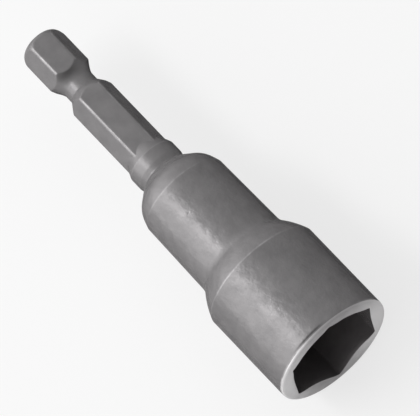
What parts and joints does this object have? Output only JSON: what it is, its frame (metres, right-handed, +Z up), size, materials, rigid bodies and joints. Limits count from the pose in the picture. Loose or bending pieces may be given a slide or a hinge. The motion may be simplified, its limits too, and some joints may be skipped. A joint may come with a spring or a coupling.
{
  "type": "magnetic impact socket",
  "caption": "Magnetic impact socket: hex power shank with a locking groove, collar and rounded body, hex nut recess, and a sprung disc magnet on a short slide behind it.",
  "frame": {"origin": "centre of the flat drive-end face, on the tool's axis", "axes": "+X along the tool's axis from the drive end to the mouth; +Z up, square to two flats of the hex shank"},
  "size_m": [0.065, 0.0186, 0.0186],
  "materials": {
    "shank_steel": "bead-blasted grey tool steel",
    "body_steel": "bead-blasted grey tool steel",
    "spring_steel": "drawn spring wire",
    "carrier_brass": "turned, plain",
    "buffer_rubber": "soft black rubber",
    "magnet_nickel": "nickel plated, satin",
    "ring_steel": "dark hardened wire"
  },
  "bodies": {
    "tool": {"drive_shank": "shank_steel", "socket_body": "body_steel", "magnet_spring": "spring_steel", "retaining_ring": "ring_steel"},
    "magnet_unit": {"magnet_carrier": "carrier_brass", "buffer_disc": "buffer_rubber", "magnet": "magnet_nickel"}
  },
  "joints": [
    {"name": "magnet_slide", "type": "slide", "parent": "tool", "child": "magnet_unit", "axis": [-1, 0, 0], "range_m": [0, 0.0048], "stiffness_N_per_m": 210, "springref_m": -0.0035, "deforming": ["magnet_spring"]}
  ]
}
